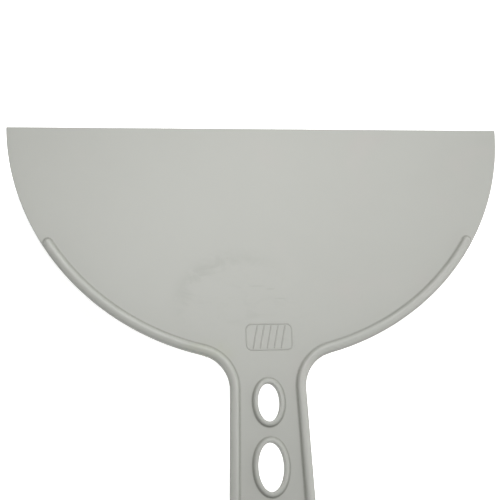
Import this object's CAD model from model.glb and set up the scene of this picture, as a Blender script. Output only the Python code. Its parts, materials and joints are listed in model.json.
# %% [markdown]
# # A flexible putty knife
#
# The knife is a half-moon spreader, moulded in one shot from springy grey plastic. A thin flat web
# makes both the blade and the middle of the handle, and a round rib runs along its edge: it starts
# on one side of the blade, follows the curved back, goes down the handle, round the butt and up the
# other side. Each finger hole has a small rim of its own.
#
# This lesson builds that moulding as surfaces worked out with numpy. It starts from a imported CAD
# frame, which gives the sizes and says which zones bend against each other.

import json
import math

import bmesh
import bpy
import numpy as np
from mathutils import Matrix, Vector


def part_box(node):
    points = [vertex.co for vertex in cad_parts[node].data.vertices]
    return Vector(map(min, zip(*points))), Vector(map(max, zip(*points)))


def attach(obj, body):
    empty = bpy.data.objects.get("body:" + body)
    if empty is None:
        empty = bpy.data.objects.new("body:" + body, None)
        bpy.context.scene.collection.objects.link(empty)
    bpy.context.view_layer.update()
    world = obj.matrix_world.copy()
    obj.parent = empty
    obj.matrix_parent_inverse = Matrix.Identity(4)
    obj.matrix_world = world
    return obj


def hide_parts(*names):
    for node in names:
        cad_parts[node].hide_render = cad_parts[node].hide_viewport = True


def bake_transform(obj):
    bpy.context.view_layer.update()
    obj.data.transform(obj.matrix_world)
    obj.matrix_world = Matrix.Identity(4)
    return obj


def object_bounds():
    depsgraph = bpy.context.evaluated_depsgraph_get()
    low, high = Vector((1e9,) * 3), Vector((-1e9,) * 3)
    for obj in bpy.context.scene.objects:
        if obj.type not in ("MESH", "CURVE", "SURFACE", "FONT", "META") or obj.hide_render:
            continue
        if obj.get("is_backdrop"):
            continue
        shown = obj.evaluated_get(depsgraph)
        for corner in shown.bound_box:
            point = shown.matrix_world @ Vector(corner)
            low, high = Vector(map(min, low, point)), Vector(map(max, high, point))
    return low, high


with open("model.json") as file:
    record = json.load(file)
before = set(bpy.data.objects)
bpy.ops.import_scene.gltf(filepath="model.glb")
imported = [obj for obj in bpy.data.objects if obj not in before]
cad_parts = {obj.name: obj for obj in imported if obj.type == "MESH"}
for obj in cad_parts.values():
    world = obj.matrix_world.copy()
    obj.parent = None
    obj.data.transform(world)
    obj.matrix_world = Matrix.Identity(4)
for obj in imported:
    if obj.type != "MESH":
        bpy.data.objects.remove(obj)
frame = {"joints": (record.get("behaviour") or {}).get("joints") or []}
cad_low, cad_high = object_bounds()
print("CAD box:", [round(v, 4) for v in (*cad_low, *cad_high)])

# %% [markdown]
# ## One set of axes for the maker, one for the frame
#
# A toolmaker measures this knife from its working edge and from the middle of the wall, in
# millimetres. Blender wants metres in the frame's own axes. Every shape below is drawn in the
# maker's axes and goes through one function at the end, so a size is written down only once.

# %% The maker's axes
MM = 0.001
EDGE_Y = cad_high.y
MIDDLE_Z = (cad_low.z + cad_high.z) / 2


def in_frame(points):
    """Millimetres (across, from the edge, above the middle) made metres in the frame."""
    return points * MM + (0, EDGE_Y, MIDDLE_Z)


def measured(node):
    """The lowest and highest corner of a CAD node, in the maker's millimetres."""
    return [(np.array(corner) - (0, EDGE_Y, MIDDLE_Z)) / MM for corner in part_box(node)]


half_blade = cad_high.x / MM
length = (cad_high.y - cad_low.y) / MM
rib_height = (cad_high.z - MIDDLE_Z) / MM
web_height = measured("blade_web")[1][2]
bends = {joint["name"]: (joint["pos_m"][1] - EDGE_Y) / MM for joint in frame["joints"]}
print(f"blade {2 * half_blade:.0f} mm, length {length:.0f} mm, web {2 * web_height:.1f} mm thick")
print("bending lines, from the edge:", {name: round(y, 1) for name, y in bends.items()})

# %% [markdown]
# ## The outline
#
# Seen from above, each side of the knife is four curves that touch without a corner: the round
# back of the blade, a hollow fillet at the neck, the straight side of the handle and the round
# butt. It could be drawn as a curve with handles, but then every handle would be set by eye. Circles
# that touch are found from their centre distances, so a few radii and a slope are all that has to
# be known. Each point carries its outward direction, because everything that follows the edge is
# drawn at some distance inside it.

# %% The circles and the slope
ARC_CENTRE = 4.9  # the round back is centred this far beyond the working edge
NECK_FILLET = 13.4
HANDLE_HALF_WIDTH = 14.6
HANDLE_WIDTH_AT = 115
FLARE = 0.031  # the handle's half width grows this much for each millimetre

blade_centre = np.array([0, ARC_CENTRE])
blade_radius = math.hypot(half_blade, ARC_CENTRE)

side_length = math.hypot(1, FLARE)
side_away = np.array([1, FLARE]) / side_length
side_offset = HANDLE_HALF_WIDTH - FLARE * HANDLE_WIDTH_AT

butt_radius = (side_offset + FLARE * length) / (side_length + FLARE)
butt_centre = np.array([0, butt_radius - length])


def neck_circle_centre():
    """The centre that is one fillet radius from the side's line and from the blade's circle."""
    across = side_offset + NECK_FILLET * side_length
    apart = blade_radius + NECK_FILLET
    a = 1 + FLARE**2
    b = -2 * FLARE * across - 2 * ARC_CENTRE
    c = across**2 + ARC_CENTRE**2 - apart**2
    y = (-b - math.sqrt(b * b - 4 * a * c)) / (2 * a)
    return np.array([across - FLARE * y, y])


neck_centre = neck_circle_centre()
print(f"neck fillet centred at {neck_centre.round(1)} mm, butt radius {butt_radius:.1f} mm")

# %% Arcs and lines
STEP = 0.9  # spacing of points round a curve


def angle_of(direction):
    return math.atan2(direction[1], direction[0])


def arc(centre, radius, start, stop, facing=1):
    """Points on a circle and their outward directions: centre + radius * (cos, sin) of the turn.

    facing is -1 where the plastic lies outside the circle, as at the neck.
    """
    steps = math.ceil(abs(stop - start) * radius / STEP)
    turn = np.linspace(start, stop, steps + 1)
    away = np.stack([np.cos(turn), np.sin(turn)], axis=1)
    return centre + radius * away, facing * away


def line(start, stop, away):
    """Evenly spaced points of a straight side, which all face one way."""
    steps = math.ceil(np.linalg.norm(stop - start) / (2 * STEP))
    share = np.linspace(0, 1, steps + 1)[:, None]
    return start + (stop - start) * share, np.tile(away, (steps + 1, 1))


# %% The right-hand side
def right_side(start_angle):
    """The outline from an angle of the blade's round back down to the middle of the butt."""
    neck_angle = angle_of(neck_centre - blade_centre)
    side_angle = angle_of(side_away)
    back = arc(blade_centre, blade_radius, start_angle, neck_angle)
    turned = (neck_angle + math.pi, side_angle + math.pi)
    neck = arc(neck_centre, NECK_FILLET, *turned, facing=-1)
    butt = arc(butt_centre, butt_radius, side_angle, -math.pi / 2)
    side = line(neck[0][-1], butt[0][0], side_away)
    stretches = [back, neck, side, butt]
    points = np.vstack([back[0]] + [points[1:] for points, _ in stretches[1:]])
    away = np.vstack([back[1]] + [away[1:] for _, away in stretches[1:]])
    return points, away


corner_angle = -math.asin(ARC_CENTRE / blade_radius)
outline, outline_away = right_side(corner_angle)
print(f"outline: {len(outline)} points")

# %% [markdown]
# ## From arrays to a mesh
#
# A surface here is a grid: rows of points, each row the same number of columns. Neighbours in the
# grid make four-sided faces, so the list of faces is index arithmetic and needs no loop. Where two
# rows or two halves share points, merging the doubles welds them, and a row that shrinks to a point
# closes itself into a round pole. After that the normals are worked out afresh, since a mirrored
# half comes out inside out.
#
# Each point also keeps its place at rest, in millimetres, as an attribute named "rest". The finish
# is painted on that, so it stays on the plastic when the blade bends.

# %% Grids
def grid_faces(rows, columns, closed_rows=False, closed_columns=False):
    """The corners of each cell of a grid, going round, for points numbered row by row."""
    row = np.arange(rows if closed_rows else rows - 1)[:, None]
    column = np.arange(columns if closed_columns else columns - 1)[None, :]
    below, beside = (row + 1) % rows, (column + 1) % columns
    corners = [(row, column), (row, beside), (below, beside), (below, column)]
    return np.stack([r * columns + c for r, c in corners], axis=-1).reshape(-1, 4)


def surface(points, closed_rows=False, closed_columns=False):
    """A grid of points (rows, columns, 3) as a list of vertices and a list of faces."""
    rows, columns, _ = points.shape
    return points.reshape(-1, 3), grid_faces(rows, columns, closed_rows, closed_columns)


def mirrored(part):
    """The same surface on the other side of the middle line."""
    return part[0] * (-1, 1, 1), part[1][:, ::-1]


# %% The piece that they become
WELD = 1e-6  # metres
SHARP = math.radians(50)


def piece(name, *parts):
    """One closed mesh object from several surfaces, placed in the frame and shaded smooth."""
    starts = np.cumsum([0] + [len(points) for points, _ in parts[:-1]])
    points = np.vstack([points for points, _ in parts])
    faces = np.vstack([faces + start for (_, faces), start in zip(parts, starts)])
    mesh = bpy.data.meshes.new(name)
    mesh.from_pydata(in_frame(points), [], faces)
    rest = mesh.attributes.new("rest", "FLOAT_VECTOR", "POINT")
    rest.data.foreach_set("vector", points.astype(np.float32).ravel())
    shape = bmesh.new()
    shape.from_mesh(mesh)
    bmesh.ops.remove_doubles(shape, verts=shape.verts, dist=WELD)
    bmesh.ops.dissolve_degenerate(shape, edges=shape.edges, dist=WELD)
    bmesh.ops.recalc_face_normals(shape, faces=shape.faces)
    open_edges = sum(not edge.is_manifold for edge in shape.edges)
    shape.to_mesh(mesh)
    shape.free()
    mesh.shade_smooth()
    mesh.set_sharp_from_angle(angle=SHARP)
    made = bpy.data.objects.new(name, mesh)
    bpy.context.scene.collection.objects.link(made)
    print(f"{name}: {len(mesh.polygons)} faces, {open_edges} open edges")
    return made


# %% [markdown]
# ## The section of a rib
#
# Cut across, a rib is a round crest. On the outside it rolls over into thin air. On the inside it
# comes down on the web with a small hollow fillet, because a mould can't make, and plastic doesn't
# like, a knife-sharp inner corner. That fillet helps to draw the thin dark line beside each rib.
#
# Such a section could be drawn by hand as a curve, but a formula is easier to change. The crest is
# a superellipse, |across / reach|^n + |up / height|^n = 1: n = 2 is half round and a larger n, here
# called the fullness, is flatter on top. The fillet is a circle that touches both the crest's curve
# and the web, so its centre is one radius above the web and one radius from the crest's curve.

# %% The crest's curve
def crest_curve(reach, height, fullness, angle):
    """A quarter of a superellipse with its outward directions.

    Across is reach * cos^(2/n) and up is height * sin^(2/n); the outward direction is the slope
    of the superellipse's own equation.
    """
    across = np.cos(angle).clip(0) ** (2 / fullness)
    up = np.sin(angle).clip(0) ** (2 / fullness)
    away = np.stack([across ** (fullness - 1) / reach, up ** (fullness - 1) / height], axis=-1)
    away /= np.linalg.norm(away, axis=-1, keepdims=True)
    return np.stack([across * reach, up * height], axis=-1), away


# %% Halves of a section
CREST_STEPS = 15
FILLET_STEPS = 7
SEARCH_STEPS = 2000  # places along the crest where the fillet's touching point is looked for
TUCK = 0.7  # past the fillet the skin dips into the web and ends there, out of sight
DIP = 0.03


def with_underside(upper):
    """A half section from the upper crest out to the middle plane and on to the lower crest."""
    return np.vstack([upper, upper[-2::-1] * (1, -1)])


def open_half(reach, height, fullness):
    """The half that rolls over into thin air, as (distance from the crest line, height)."""
    angle = np.linspace(math.pi / 2, 0, CREST_STEPS + FILLET_STEPS + 2)
    return with_underside(crest_curve(reach, height, fullness, angle)[0])


def foot_half(reach, height, fullness, fillet):
    """The half that stands on the web with a fillet, as (distance from the crest line, height)."""
    angle = np.linspace(math.pi / 2, 0, SEARCH_STEPS)
    curve, away = crest_curve(reach, height, fullness, angle)
    centre_height = curve[:, 1] + fillet * away[:, 1]
    touch = np.interp(-web_height - fillet, -centre_height, angle)
    angle = np.linspace(math.pi / 2, touch, CREST_STEPS)
    crest, away = crest_curve(reach, height, fullness, angle)
    centre = crest[-1] + fillet * away[-1]
    turn = np.linspace(angle_of(-away[-1]), -math.pi / 2, FILLET_STEPS + 1)[1:]
    hollow = centre + fillet * np.stack([np.cos(turn), np.sin(turn)], axis=1)
    tucked = [(centre[0] + TUCK, web_height - DIP), (centre[0] + TUCK, 0)]
    return with_underside(np.vstack([crest, hollow, tucked]))


# %% The rib's own sections, along the blade and along the handle
blade_outer = {"reach": 2.3, "height": rib_height, "fullness": 2.05}
blade_inner = {"reach": 1.65, "height": rib_height, "fullness": 2.1, "fillet": 0.8}
handle_outer = {"reach": 2.2, "height": rib_height, "fullness": 2.0}
handle_inner = {"reach": 1.45, "height": rib_height, "fullness": 2.1, "fillet": 0.8}
blade_halves = open_half(**blade_outer), foot_half(**blade_inner)
handle_halves = open_half(**handle_outer), foot_half(**handle_inner)
print(f"section: {2 * len(blade_halves[0]) - 2} points round")

# %% [markdown]
# ## The rib, one long sweep
#
# The rib could be a curve with a bevel, but a bevel keeps one section for its whole length. Here
# the section changes: it is a little broader along the blade than along the handle. Its crest lies
# nearer the inner side, so its outer slope is the longer one. The section is carried along the
# outline as an array, and passes from one shape to the other through the neck. The ends are half
# turns of the same section: at the start of the turn it is the outer half, and an eighth of a turn
# later it has become the half with a foot, since there is web under it.

# %% A section along a path
def between(pair_a, pair_b, share):
    """Half sections part of the way from one pair to another, for each share along the path."""
    share = share[:, None, None]
    return [a + (b - a) * share for a, b in zip(pair_a, pair_b)]


def swept(path, away, halves):
    """A section carried along a path.

    A point stands at path - away * inset, where the inset is the crest line's minus or plus the
    distance from it, and at the section's own height.
    """
    outer, inner = halves
    crest_inset = outer[:, :, 0].max(axis=1, keepdims=True)
    back = inner[:, -2:0:-1]
    inset = np.hstack([crest_inset - outer[:, :, 0], crest_inset + back[:, :, 0]])
    up = np.hstack([outer[:, :, 1], back[:, :, 1]])
    flat = path[:, None] - away[:, None] * inset[..., None]
    return np.concatenate([flat, up[..., None]], axis=2)


# %% A rib's end
TIP_STEPS = 28
TIP_CHANGE = math.pi / 4  # the turn over which the end gets its foot


def smooth(t):
    """Eases from 0 to 1 as 3t² - 2t³, and stays at 0 before and at 1 after."""
    t = np.clip(t, 0, 1)
    return t * t * (3 - 2 * t)


def rib_end(point, away, halves):
    """A half turn about the crest line's end, from the outer half section to the inner one."""
    outer, inner = halves
    reach = outer[:, 0].max()
    turn = np.linspace(0, math.pi, TIP_STEPS)[:, None]
    share = smooth(turn / TIP_CHANGE)[..., None]
    half = outer + (inner - outer) * share
    outward = np.minimum(half[..., 0] * np.cos(turn), reach)
    onward = half[..., 0] * np.sin(turn)
    ahead = np.array([-away[1], away[0]])
    flat = point + away * (outward - reach)[..., None] + ahead * onward[..., None]
    return np.concatenate([flat, half[..., 1:]], axis=2)


# %% Carry the section round the knife
TIP_BEHIND_EDGE = 48
CHANGE_FROM, CHANGE_TO = 82, 108  # behind the edge, where the section changes

tip_radius = blade_radius - blade_outer["reach"]
tip_angle = -math.asin((TIP_BEHIND_EDGE + ARC_CENTRE) / tip_radius)
right, right_away = right_side(tip_angle)
flip = np.array([-1, 1])
path = np.vstack([right, right[-2::-1] * flip])
path_away = np.vstack([right_away, right_away[-2::-1] * flip])
towards_handle = smooth((-path[:, 1] - CHANGE_FROM) / (CHANGE_TO - CHANGE_FROM))
halves_along = between(blade_halves, handle_halves, towards_handle)

right_end = surface(rib_end(right[0], right_away[0], blade_halves))
edge_rib = piece(
    "edge_rib",
    surface(swept(path, path_away, halves_along), closed_columns=True),
    right_end,
    mirrored(right_end),
)

# %% [markdown]
# ## A flat plate with a rounded edge
#
# The web could be an extruded outline, but then its faces would be huge polygons that can't bend.
# It has to bend at the neck, so it is made of rows across the knife, close together. Each row runs
# from the middle line, or from the side of a hole, out to the edge.
#
# The edge is rounded by a simple rule: a thin core plate is drawn a little inside, and every point
# of it is pushed out by the radius of a small ball. At the sides the ball's direction turns from up
# to sideways to down; along the working edge it also turns forwards.

# %% Half a plate
EDGE_ROUND = 0.3
PLATE_COLUMNS = 40
EDGE_STEPS = 7


def plate_half(y, core_height, inner=0.0, front=0.0):
    """The right-hand half of a plate, one row for each y.

    A row runs along the top from inner to the core's edge, round that edge and back underneath.
    Its points are core + ball * (cos front * cos side, sin front, cos front * sin side), where
    side turns from straight up to straight down, and front is 0 except at a rounded front edge.
    """
    core = outline - outline_away * EDGE_ROUND
    order = np.argsort(core[:, 1])
    core_x, away_x, away_y = (
        np.interp(y, core[order, 1], column[order])
        for column in (core[:, 0], outline_away[:, 0], outline_away[:, 1])
    )
    share = np.linspace(0, 1, PLATE_COLUMNS)[None, :]
    y, core_x, away_x, away_y, core_height, inner, front = (
        np.broadcast_to(values, y.shape)[:, None]
        for values in (y, core_x, away_x, away_y, core_height, inner, front)
    )
    across = inner + (core_x - inner) * share
    side = np.linspace(math.pi / 2, 0, EDGE_STEPS)[None, :]
    outward = EDGE_ROUND * np.cos(front) * np.cos(side)
    forward = EDGE_ROUND * np.sin(front)
    top_x = np.hstack([across[:, :-1], core_x + away_x * outward])
    top_y = np.hstack([np.repeat(y, PLATE_COLUMNS - 1, 1), y + away_y * outward]) + forward
    rise = core_height + EDGE_ROUND * np.cos(front)
    rounded = core_height + EDGE_ROUND * np.cos(front) * np.sin(side)
    top_z = np.hstack([np.repeat(rise, PLATE_COLUMNS - 1, 1), rounded])
    top = np.stack([top_x, top_y, top_z], axis=-1)
    return np.concatenate([top, top[:, ::-1] * (1, 1, -1)], axis=1)


# %% The whole plate
def plate(y, core_height, inner=0.0, front=0.0):
    """Both halves of a plate, closed at the first and the last row, and round any hole."""
    half = plate_half(y, core_height, inner, front)
    capped = np.concatenate([half[:1] * (1, 1, 0), half, half[-1:] * (1, 1, 0)])
    points, faces = surface(capped, closed_columns=True)
    rows, columns, _ = capped.shape
    # The faces that close each row stand on the middle line, or are the wall of a hole. Those on
    # the middle line would part the two halves inside, so they are left out.
    hole = np.broadcast_to(inner, y.shape) > 0
    hole = np.concatenate([[False], hole, [False]])
    walls = np.zeros((rows - 1, columns), bool)
    walls[:, -1] = ~(hole[:-1] | hole[1:])
    right_half = points, faces[~walls.ravel()]
    return [right_half, mirrored(right_half)]


# %% [markdown]
# ## The web of blade and handle
#
# Around each hole the web stops under the hole's rim. The rows bunch up where an oval hole begins
# and ends, because its side turns fastest there. The web ends as a seam just beyond the ends of the
# ribs, where the thin lip takes over.

# %% The rows of the web
LIP_SEAM = -45.0
ROWS_PER_HOLE = 26
ROW_SPACING = 1.2
RIM_WIDTH = 2.3
END_GAP = 0.3  # the web's last row stops this far inside its core's end, hidden in the rib

hole_nodes = ["grip_hole_rim_1", "grip_hole_rim_2", "grip_hole_rim_3", "hanging_hole_rim"]
holes = []
for node in hole_nodes:
    low, high = measured(node)
    half_width, half_length = (high - low)[:2] / 2 - RIM_WIDTH
    middle = (low[1] + high[1]) / 2
    holes.append({"y": middle, "half_width": half_width, "half_length": half_length})

turn = np.linspace(0, math.pi, ROWS_PER_HOLE)
under_rim = RIM_WIDTH / 2
hole_rows = [h["y"] + (h["half_length"] + under_rim) * np.cos(turn) for h in holes]
lowest = butt_centre[1] - butt_radius + EDGE_ROUND + END_GAP
even_rows = np.linspace(LIP_SEAM, lowest, math.ceil((LIP_SEAM - lowest) / ROW_SPACING))
rows = np.unique(np.concatenate([even_rows, *hole_rows]).round(3))[::-1]
print(f"{len(rows)} rows, {len(holes)} holes")


# %% The web, around its holes
def hole_side(y):
    """Half the width of whatever hole there is at y.

    It is half width * sqrt(1 - (distance / half length)²), with both halves taken to the middle
    of the rim.
    """
    width = np.zeros_like(y)
    for hole in holes:
        share = (y - hole["y"]) / (hole["half_length"] + under_rim)
        width += (hole["half_width"] + under_rim) * np.sqrt((1 - share**2).clip(0))
    return np.where(width > WELD / MM, width, 0)


web_core = np.full_like(rows, web_height - EDGE_ROUND)
web = piece("web", *plate(rows, web_core, inner=hole_side(rows)))

# %% [markdown]
# ## The lip and the spreading edge
#
# Beyond the ends of the ribs the blade is a plain sheet that gets thinner towards the working edge,
# so that it bends in a curve when it is pressed on a wall. It could be one piece with the web, but
# the knife bends at two lines, and a piece can follow only one of them. So the sheet is parted at a
# seam between the two. Its thickness falls away as a power of the distance: level where it leaves
# the web, so no seam shows there, and steepest at the edge.

# %% Build the lip and the edge
EDGE_WALL = 0.7
TAPER_POWER = 2.2
LIP_ROWS = 44
FRONT_STEPS = 8

edge_start = measured("working_edge")[0][1]


def half_wall(y):
    """Half the wall: from web_height at the seam to half of EDGE_WALL, as 1 - share^TAPER_POWER."""
    share = ((y - LIP_SEAM) / -LIP_SEAM).clip(0, 1)
    return web_height - (web_height - EDGE_WALL / 2) * share**TAPER_POWER


lip_rows = np.linspace(LIP_SEAM, edge_start, LIP_ROWS)
lip = piece("lip", *plate(lip_rows, half_wall(lip_rows) - EDGE_ROUND))

level_rows = np.linspace(edge_start, -EDGE_ROUND, FRONT_STEPS)
front = np.concatenate([np.zeros(FRONT_STEPS), np.linspace(0, math.pi / 2, FRONT_STEPS)[1:]])
edge_rows = np.concatenate([level_rows, np.full(FRONT_STEPS - 1, -EDGE_ROUND)])
edge_core = half_wall(edge_rows) - EDGE_ROUND
spreading_edge = piece("spreading_edge", *plate(edge_rows, edge_core, front=front))

# %% [markdown]
# ## The rims of the holes
#
# Each rim is the same idea as the rib: one section carried round an oval. Towards the web it has
# a foot with a fillet. Towards the opening it is nearly upright, with a small round at the top, as
# the mould's core leaves it. A ring stretched to an oval would be quicker, but stretching makes the
# rim thin at the sides and thick at the ends, so the oval's own outward directions are used.

# %% Build the rims
RIM_STEPS = 96
rim_height = measured(hole_nodes[0])[1][2]
rim_halves = (
    open_half(reach=0.85, height=rim_height, fullness=5),
    foot_half(reach=1.25, height=rim_height, fullness=2.2, fillet=0.55),
)


def oval(hole):
    """Points round an oval, with the directions from its wall into the opening."""
    turn = np.linspace(0, 2 * math.pi, RIM_STEPS, endpoint=False)
    half = np.array([hole["half_width"], hole["half_length"]])
    around = np.stack([np.cos(turn), np.sin(turn)], axis=1)
    inward = -around / half
    inward /= np.linalg.norm(inward, axis=1, keepdims=True)
    return around * half + (0, hole["y"]), inward


rims = []
for number, hole in enumerate(holes, start=1):
    wall, inward = oval(hole)
    halves = [np.broadcast_to(half, (RIM_STEPS, *half.shape)) for half in rim_halves]
    ring = swept(wall, inward, halves)
    rims.append(piece(f"hole_rim_{number}", surface(ring, closed_rows=True, closed_columns=True)))

# %% [markdown]
# ## The moulded mark
#
# Tools like this one carry a small raised mark on the blade. Here it is a plain panel with slanted
# bars, which names nobody. Its lines are less than a fifth of a millimetre high. A bump in the
# finish could fake them, but a low bead of real plastic catches the light properly from any side.

# %% A bead along a line
BEAD_HALF_WIDTH = 0.32
BEAD_HEIGHT = 0.17
BEAD_ROOT = 0.2
BEAD_STEPS = 9


def bead_section():
    """A low half-round across the bead, closed underneath by a root sunk in the web."""
    angle = np.linspace(0, math.pi, BEAD_STEPS)
    root = [-BEAD_HALF_WIDTH, BEAD_HALF_WIDTH]
    across = np.concatenate([BEAD_HALF_WIDTH * np.cos(angle), root])
    up = np.concatenate([BEAD_HEIGHT * np.sin(angle), [-BEAD_ROOT, -BEAD_ROOT]])
    return across, up


def bead(middle, beside, share):
    """A bead along a line of points; share scales its section, so 0 closes an end."""
    across, up = bead_section()
    flat = middle[:, None] + beside[:, None] * (across * share[:, None])[..., None]
    height = web_height + up * share[:, None]
    return np.concatenate([flat, height[..., None]], axis=2)


# %% The panel's frame
PANEL_CORNER = 2.0
CORNER_STEPS = 7


def round_box(low, high, radius):
    """The centre line of a box with round corners, with outward directions.

    Each corner is its own circle's centre + radius * (cos, sin) of a quarter turn.
    """
    turn = np.linspace(0, math.pi / 2, CORNER_STEPS)
    middle, half = (low + high) / 2, (high - low) / 2 - radius
    signs = np.array([[1, 1], [-1, 1], [-1, -1], [1, -1]])
    turns = turn[None, :] + np.arange(4)[:, None] * math.pi / 2
    away = np.stack([np.cos(turns), np.sin(turns)], axis=-1)
    points = middle + signs[:, None] * half + radius * away
    return points.reshape(-1, 2), away.reshape(-1, 2)


mark_low, mark_high = (corner[:2] for corner in measured("moulded_mark"))
inside = np.array([BEAD_HALF_WIDTH, BEAD_HALF_WIDTH])
frame_line, frame_away = round_box(mark_low + inside, mark_high - inside, PANEL_CORNER)
mark_parts = [surface(bead(frame_line, frame_away, np.ones(len(frame_line))), True, True)]

# %% The slanted bars
BARS = 5
LEAN = 2.0
BAR_STEPS = 24
BLUNTNESS = 16  # the bars' ends narrow as sqrt(1 - along^16): hardly at all until the very end

along = np.linspace(-1, 1, BAR_STEPS)
narrowing = (1 - along**BLUNTNESS) ** 0.5
for x in np.linspace(mark_low[0], mark_high[0] - LEAN, BARS + 2)[1:-1]:
    start = np.array([x, mark_low[1] + 2 * BEAD_HALF_WIDTH])
    stop = np.array([x + LEAN, mark_high[1] - 2 * BEAD_HALF_WIDTH])
    run = (stop - start) / np.linalg.norm(stop - start)
    middle = (start + stop) / 2 + (stop - start) / 2 * along[:, None]
    beside = np.tile([run[1], -run[0]], (BAR_STEPS, 1))
    mark_parts.append(surface(bead(middle, beside, narrowing), closed_columns=True))
moulded_mark = piece("moulded_mark_lines", *mark_parts)

# %% [markdown]
# ## What moves with what
#
# The real knife has no hinge: it bends at the neck and in the lip. The frame holds those bends as
# two sprung hinges. A piece that rode on one body alone would break away from its neighbour at the
# bending line, so a piece that crosses one is blended: it turns a little at a time over a zone
# centred on the line. Everything that crosses the neck has the same zone, or the rib would come
# away from the web.

# %% The bodies that each piece moves with
NECK_ZONE = 22  # half the length over which the neck bends
LIP_ZONE = bends["lip_flex"] - LIP_SEAM


def on_middle_line(y):
    return tuple(in_frame(np.array([0, y, 0])))


neck_line, lip_line = bends["shoulder_flex"], bends["lip_flex"]
neck_zone = on_middle_line(neck_line - NECK_ZONE), on_middle_line(neck_line + NECK_ZONE)
for thing in (web, edge_rib, rims[0], moulded_mark):
    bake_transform(thing)
for rim in rims[1:]:
    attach(rim, "handle")
on_middle_line(LIP_SEAM)
on_middle_line(lip_line + LIP_ZONE)
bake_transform(lip)
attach(spreading_edge, "lip")
print(f"the neck bends over {2 * NECK_ZONE} mm, the lip over {2 * LIP_ZONE:.0f} mm")

# %% The nodes that each piece replaces, and the material slots
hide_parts("handle_web", "blade_web")
ribs = ["blade_rib_left", "blade_rib_right", "handle_rib_left", "handle_rib_right", "butt_rib"]
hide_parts(*ribs)
for rim, node in zip(rims, hole_nodes):
    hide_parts(node)
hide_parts("moulded_mark")
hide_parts("lip_web")
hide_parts("working_edge")

# %% [markdown]
# ## Shader arithmetic as Python
#
# A finish is a sum of small causes, and sums are easier to read as expressions than as a tangle of
# nodes. The class below wraps a socket. Adding, subtracting or multiplying two wrapped sockets adds
# the Math node that does it, so `1 - mask` means what it says. Every other node comes from one
# method, `node`, and the patterns that the plastic needs are small methods built on that.

# %% A value that changes over the surface
class Field:
    """A socket's value, which can be added, subtracted and multiplied."""

    def __init__(self, finish, socket):
        self.finish = finish
        self.socket = socket

    def math(self, operation, first, second):
        return self.finish.node("ShaderNodeMath", {0: first, 1: second}, operation=operation)

    def __add__(self, other):
        return self.math("ADD", self, other)

    def __sub__(self, other):
        return self.math("SUBTRACT", self, other)

    def __rsub__(self, other):
        return self.math("SUBTRACT", other, self)

    def __mul__(self, other):
        return self.math("MULTIPLY", self, other)

    __radd__ = __add__
    __rmul__ = __mul__


# %% A finish and its patterns
class Finish:
    """One material: node() makes its nodes, and out() feeds the shader's own sockets."""

    def __init__(self, name):
        self.material = bpy.data.materials.new(name)
        self.material.use_nodes = True
        self.tree = self.material.node_tree
        self.shader = self.tree.nodes["Principled BSDF"]

    def feed(self, socket, value):
        if isinstance(value, Field):
            self.tree.links.new(value.socket, socket)
        else:
            socket.default_value = value

    def node(self, kind, inputs, output=0, **settings):
        made = self.tree.nodes.new(kind)
        for name, value in settings.items():
            setattr(made, name, value)
        for name, value in inputs.items():
            self.feed(made.inputs[name], value)
        return Field(self, made.outputs[output])

    def out(self, **values):
        for name, value in values.items():
            self.feed(self.shader.inputs[name.replace("_", " ")], value)

    def place(self):
        """Where a point lies on the knife at rest, in millimetres."""
        return self.node("ShaderNodeAttribute", {}, output="Vector", attribute_name="rest")

    def scaled(self, place, size):
        """A place divided by a size for each axis, so a pattern of unit size gets that size."""
        inverse = tuple(1 / s for s in size)
        inputs = {0: place, 1: inverse}
        return self.node("ShaderNodeVectorMath", inputs, operation="MULTIPLY")

    def noise(self, place, size, detail=2.0, roughness=0.5, distortion=0.0):
        """Soft random blotches of about that size, from -1 to 1."""
        inputs = {
            "Vector": self.scaled(place, size),
            "Scale": 1.0,
            "Detail": detail,
            "Roughness": roughness,
            "Distortion": distortion,
        }
        return self.node("ShaderNodeTexNoise", inputs, output="Fac") * 2 - 1

    def ramp(self, value, low, high):
        """0 below low, 1 above high and smooth between them."""
        inputs = {"Value": value, "From Min": low, "From Max": high}
        return self.node("ShaderNodeMapRange", inputs, interpolation_type="SMOOTHSTEP")

    def distance(self, place, centre, size):
        """0 at a centre and 1 on an oval of that half size round it."""
        moved = self.node("ShaderNodeVectorMath", {0: place, 1: centre}, operation="SUBTRACT")
        inputs = {0: self.scaled(moved, size)}
        return self.node("ShaderNodeVectorMath", inputs, output="Value", operation="LENGTH")

    def spot(self, place, centre, size):
        """1 round a centre, falling to 0 at an oval of that half size."""
        return 1 - self.ramp(self.distance(place, centre, size), 0.2, 1.0)

    def ring(self, place, centre, size, wander):
        """1 along an oval round a centre and 0 away from it; wander moves the line in and out."""
        distance = self.distance(place, centre, size) + wander
        return self.ramp(distance, 0.72, 0.94) * (1 - self.ramp(distance, 0.94, 1.2))

    def mixed(self, share, first, second):
        """A colour between two colours."""
        inputs = {0: share, 6: first, 7: second}
        return self.node("ShaderNodeMix", inputs, output=2, data_type="RGBA")


# %% [markdown]
# ## The plastic
#
# Up close the moulding is not one grey. The colour wanders a little between dark and pale, and here
# and there to rosy. The melt left cloudy marks near the gate, where it came in, and an arc round
# it, where its front stood still for a moment. A greenish stain and three scuffs came later.
#
# A picture could be wrapped round the knife, but it would show only one side of it. Layers of
# noise, each with a cause of its own, cover front, back and edge alike.

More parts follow.
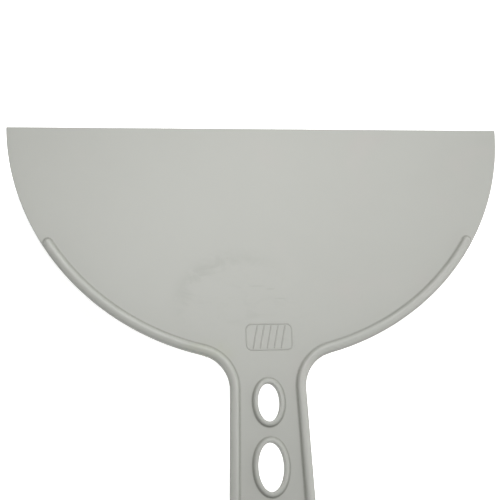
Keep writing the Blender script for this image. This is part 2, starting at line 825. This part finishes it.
# %% The colour that the mould and the years left
GREY = (0.395, 0.40, 0.372, 1)
PALE = (0.425, 0.43, 0.402, 1)
DARK = (0.335, 0.34, 0.312, 1)
GREENISH = (0.375, 0.386, 0.322, 1)
ROSY = (0.415, 0.395, 0.375, 1)
GATE = (-9, -74, 0)
HALO = (-21, -63, 0)  # the part of the arc that shows
STAIN = (-22, -91, 0)
SCUFFS = [  # centre and half size of each
    ((-2.6, -66.0, 0), (4.6, 0.5, 9)),
    ((2.2, -67.2, 0), (2.4, 0.45, 9)),
    ((6, -71, 0), (3, 0.4, 9)),
]


def plain_colour(finish, place, clouds, specks):
    """Grey that wanders between dark and pale, and here and there to rosy."""
    blush = finish.noise(place, (30, 26, 20), detail=2)
    shade = clouds * 0.22 + specks * 0.05
    colour = finish.mixed(finish.ramp(shade, -0.5, 0.5), DARK, PALE)
    colour = finish.mixed(0.55, colour, GREY)
    return finish.mixed(finish.ramp(blush, 0.1, 0.7) * 0.5, colour, ROSY)


def marked_colour(finish, place, colour, flow):
    """The colour with the clouds near the gate, the arc round it, the stain and the scuffs."""
    gate = finish.spot(place, GATE, (40, 28, 40))
    halo = finish.ring(place, GATE, (25, 21, 60), flow * 0.16)
    halo = halo * finish.spot(place, HALO, (36, 27, 60))
    stain = finish.spot(place, STAIN, (14, 6, 40)) * finish.ramp(flow, -0.6, 0.5)
    scuff = sum(finish.spot(place, centre, size) for centre, size in SCUFFS) * (0.6 + flow)
    colour = finish.mixed(finish.ramp(flow, -0.1, 0.7) * gate * 0.5, colour, DARK)
    colour = finish.mixed(halo * finish.ramp(flow, -0.5, 0.4) * 0.8, colour, DARK)
    colour = finish.mixed(stain * 0.9, colour, GREENISH)
    return finish.mixed(scuff * 0.9, colour, DARK)


# %% [markdown]
# ## Dust and wear
#
# Dust stays where no hand wipes it: low on the sides of the ribs and rims, and most of all in the
# corner at their foot. Hands and walls rub the crests, which get smoother and a touch paler. Both
# depend on the height above the middle plane, so a ramp on the height paints them, where a brush
# would have to follow every rib. Spark erosion gave the mould, and so the plastic, a fine satin
# grain. It is far too fine for a mesh, so it is a bump in the finish.

# %% Dust, by height
GRIME = (0.25, 0.255, 0.228, 1)


def dust(finish, height, specks, flow):
    """More the lower on the side of a rib, with a little extra in the corner at its foot."""
    corner = finish.ramp(height, web_height, web_height + 0.12)
    corner = corner * (1 - finish.ramp(height, web_height + 0.25, web_height + 1.3))
    side = 1 - finish.ramp(height, web_height, rib_height - 0.02)
    return (corner * 0.4 + side * 0.85) * (0.85 + specks * 0.3 + flow * 0.2)


# %% The plastic, put together
GRAIN_DEPTH = 0.00001  # metres
PLASTIC_IOR = 1.49


def plastic(name, grain, rubbed, scratched, grimy=0.0):
    """The knife's plastic: how strong its grain is, and how rubbed, scratched and dusty it is."""
    finish = Finish(name)
    place = finish.place()
    up = finish.node("ShaderNodeSeparateXYZ", {0: place}, output="Z")
    height = finish.node("ShaderNodeMath", {0: up}, operation="ABSOLUTE")

    clouds = finish.noise(place, (42, 34, 20), detail=3, roughness=0.55)
    specks = finish.noise(place, (1.1, 1.1, 1.1), detail=3, roughness=0.7)
    flow = finish.noise(place, (11, 7, 9), detail=5, roughness=0.62, distortion=1.6)
    crest = finish.ramp(height, web_height + 0.3, rib_height)
    rub = crest * finish.ramp(finish.noise(place, (9, 9, 9), detail=4), -0.5, 0.5) * rubbed
    scratch = finish.ramp(finish.noise(place, (0.35, 14, 3), detail=2), 0.45, 0.8) * scratched
    grime = dust(finish, height, specks, flow) * grimy

    colour = plain_colour(finish, place, clouds, specks)
    colour = marked_colour(finish, place, colour, flow)
    colour = finish.mixed(grime * 0.75, colour, GRIME)
    colour = finish.mixed(rub * 0.35, colour, PALE)
    roughness = 0.56 + specks * 0.06 + clouds * 0.03 - rub * 0.14 - scratch * 0.1

    skin = finish.noise(place, (0.28, 0.28, 0.28), detail=2, roughness=0.6) * (1 - rub) * grain
    dents = finish.noise(place, (5, 5, 5), detail=2) * 0.6
    inputs = {"Height": skin + dents - scratch * 1.5, "Distance": GRAIN_DEPTH, "Strength": 1.0}
    bump = finish.node("ShaderNodeBump", inputs, output="Normal")
    finish.out(Base_Color=colour, Roughness=roughness, Normal=bump, IOR=PLASTIC_IOR)
    return finish.material


# %% One finish for each kind of place
web_plastic = plastic("moulded_plastic", grain=1.0, rubbed=0.3, scratched=0.0)
rib_plastic = plastic("handled_plastic", grain=0.8, rubbed=1.0, scratched=0.0, grimy=1.0)
mark_plastic = plastic("marked_plastic", grain=1.0, rubbed=0.0, scratched=0.0, grimy=0.5)
edge_plastic = plastic("worn_edge", grain=0.6, rubbed=0.3, scratched=1.0)

for thing in (web, lip):
    thing.data.materials.append(web_plastic)
moulded_mark.data.materials.append(mark_plastic)
for thing in (edge_rib, *rims):
    thing.data.materials.append(rib_plastic)
spreading_edge.data.materials.append(edge_plastic)
for finished in (web_plastic, rib_plastic, mark_plastic, edge_plastic):
    print(f"{finished.name}: {len(finished.node_tree.nodes)} nodes")

# %% [markdown]
# ## The floor
#
# The knife is shown as on a light table: a pale floor that glows, so that it stays clean and white
# under the knife's soft shadow. A plain square would do from above, but in a low view it would end
# in a dark horizon. So the floor is round, and curves up into a low wall far away on all sides,
# like the paper sweep of a studio. It lies below the knife by a little more than the blade's edge
# reaches down at its lowest.

# %% How low the floor lies
FLOOR_GAP = 0.004  # metres

blade_reach = (bends["lip_flex"] - bends["shoulder_flex"]) * MM
lip_reach = -bends["lip_flex"] * MM
dips = {joint["name"]: math.radians(joint["range_deg"][0]) for joint in frame["joints"]}
neck_dip, lip_dip = dips["shoulder_flex"], dips["lip_flex"]
lowest_reach = blade_reach * math.sin(neck_dip) + lip_reach * math.sin(neck_dip + lip_dip)
floor_z = lowest_reach + MIDDLE_Z - FLOOR_GAP
print(f"floor at {floor_z / MM:.0f} mm")

# %% The floor's shape
FLAT_RADIUS = 2.6  # metres
SWEEP_RADIUS = 0.4
SWEEP_STEPS = 13
WALL_HEIGHT = 0.6
ROUND_STEPS = 96


def sweep_profile():
    """(distance from the middle, height): level, then a quarter of a circle, then upright."""
    turn = np.linspace(0, math.pi / 2, SWEEP_STEPS)
    distance = FLAT_RADIUS + SWEEP_RADIUS * np.sin(turn)
    height = SWEEP_RADIUS * (1 - np.cos(turn))
    top = distance[-1], SWEEP_RADIUS + WALL_HEIGHT
    return np.vstack([(0, 0), np.stack([distance, height], axis=1), top])


def revolved(profile):
    """The profile turned about the upright axis: distance * (cos, sin) of the turn, and height."""
    turn = np.linspace(0, 2 * math.pi, ROUND_STEPS, endpoint=False)[:, None]
    distance = profile[:, 0]
    height = np.broadcast_to(profile[:, 1] + floor_z, (ROUND_STEPS, len(profile)))
    return np.stack([distance * np.cos(turn), distance * np.sin(turn), height], axis=-1)


floor_points, floor_faces = surface(revolved(sweep_profile()), closed_rows=True)
floor_mesh = bpy.data.meshes.new("floor")
floor_mesh.from_pydata(floor_points, [], floor_faces)
floor_mesh.shade_smooth()
floor = bpy.data.objects.new("floor", floor_mesh)
bpy.context.scene.collection.objects.link(floor)
floor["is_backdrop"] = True
print(f"floor: {len(floor_mesh.polygons)} faces")

# %% The floor's paper
PAPER = (0.93, 0.93, 0.925, 1)
PAPER_LIGHT = (0.95, 0.95, 0.95, 1)
FIBRE = (0.05, 0.05, 0.05)  # metres
WHITE = (1, 1, 1, 1)
FLOOR_GLOW = 0.68

paper = Finish("floor_paper")
fibres = paper.noise(paper.node("ShaderNodeTexCoord", {}, output="Object"), FIBRE)
paper.out(Base_Color=paper.mixed(paper.ramp(fibres, -1, 1), PAPER, PAPER_LIGHT), Roughness=0.9)
paper.out(Emission_Color=WHITE, Emission_Strength=FLOOR_GLOW)
floor_mesh.materials.append(paper.material)

# %% [markdown]
# ## The light
#
# Two small soft lamps hang over the blade, left and right. A larger one stands off to the right and
# gives each rib a lit and a shaded side, and one beyond the handle's end lights the handle. A sun
# would light the whole blade alike. Near lamps fade with distance, so the blade is palest in the
# middle and darker towards its corners. The world adds only a breath of light.

# %% The lamps
def area_light(name, place, target, size, power):
    """A square soft light at a place, turned to face a target."""
    data = bpy.data.lights.new(name, "AREA")
    data.shape = "SQUARE"
    data.size = size
    data.energy = power
    lamp = bpy.data.objects.new(name, data)
    lamp.location = place
    direction = Vector(target) - Vector(place)
    lamp.rotation_euler = direction.to_track_quat("-Z", "Y").to_euler()
    lamp.visible_camera = False
    bpy.context.scene.collection.objects.link(lamp)
    print(f"{name}: {power} W from {direction.length:.2f} m")


area_light("overhead_left", (-0.05, 0.12, 0.28), (0, 0.06, 0), size=0.12, power=0.49)
area_light("overhead_right", (0.085, 0.215, 0.34), (0.02, 0.06, 0), size=0.25, power=0.56)
area_light("side", (0.536, 0.03, 0.45), (0, 0.03, 0), size=0.4, power=1.72)
area_light("from_the_handle", (0, -0.63, 0.24), (0, 0.03, 0), size=0.4, power=0.6)

# %% The world
WORLD_LIGHT = 0.02

world = bpy.data.worlds.new("studio")
world.use_nodes = True
background = world.node_tree.nodes["Background"].inputs
background["Color"].default_value = WHITE
background["Strength"].default_value = WORLD_LIGHT
bpy.context.scene.world = world
bpy.context.scene.view_settings.view_transform = "Standard"

# %% [markdown]
# ## The camera
#
# The camera hangs 32 cm above the handle, a little to the left, and looks forward and down on the
# blade, which fills the view from side to side. It could stand farther off with a longer lens, but
# from near by the knife shows some perspective, as it does to the eye of somebody who picks it up.

# %% The camera
LENS = 61.2
SENSOR = 36
CAMERA_PLACE = (-0.0387, -0.0325, 0.3192)
CAMERA_TURN = (16.35, -5.51, -2.02)  # degrees

camera_data = bpy.data.cameras.new("camera")
camera_data.lens = LENS
camera_data.sensor_width = SENSOR
camera = bpy.data.objects.new("camera", camera_data)
camera.location = CAMERA_PLACE
camera.rotation_euler = [math.radians(angle) for angle in CAMERA_TURN]
bpy.context.scene.collection.objects.link(camera)
bpy.context.scene.camera = camera

# %% [markdown]
# ## Measure and finish
#
# The boxes of the CAD and of the drawn knife are written down side by side, so that anybody can see
# that the two are the same size. The last call hands the scene over.

# %% Write both boxes and finish
low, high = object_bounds()
print("visual box:", [round(v, 4) for v in (*low, *high)])
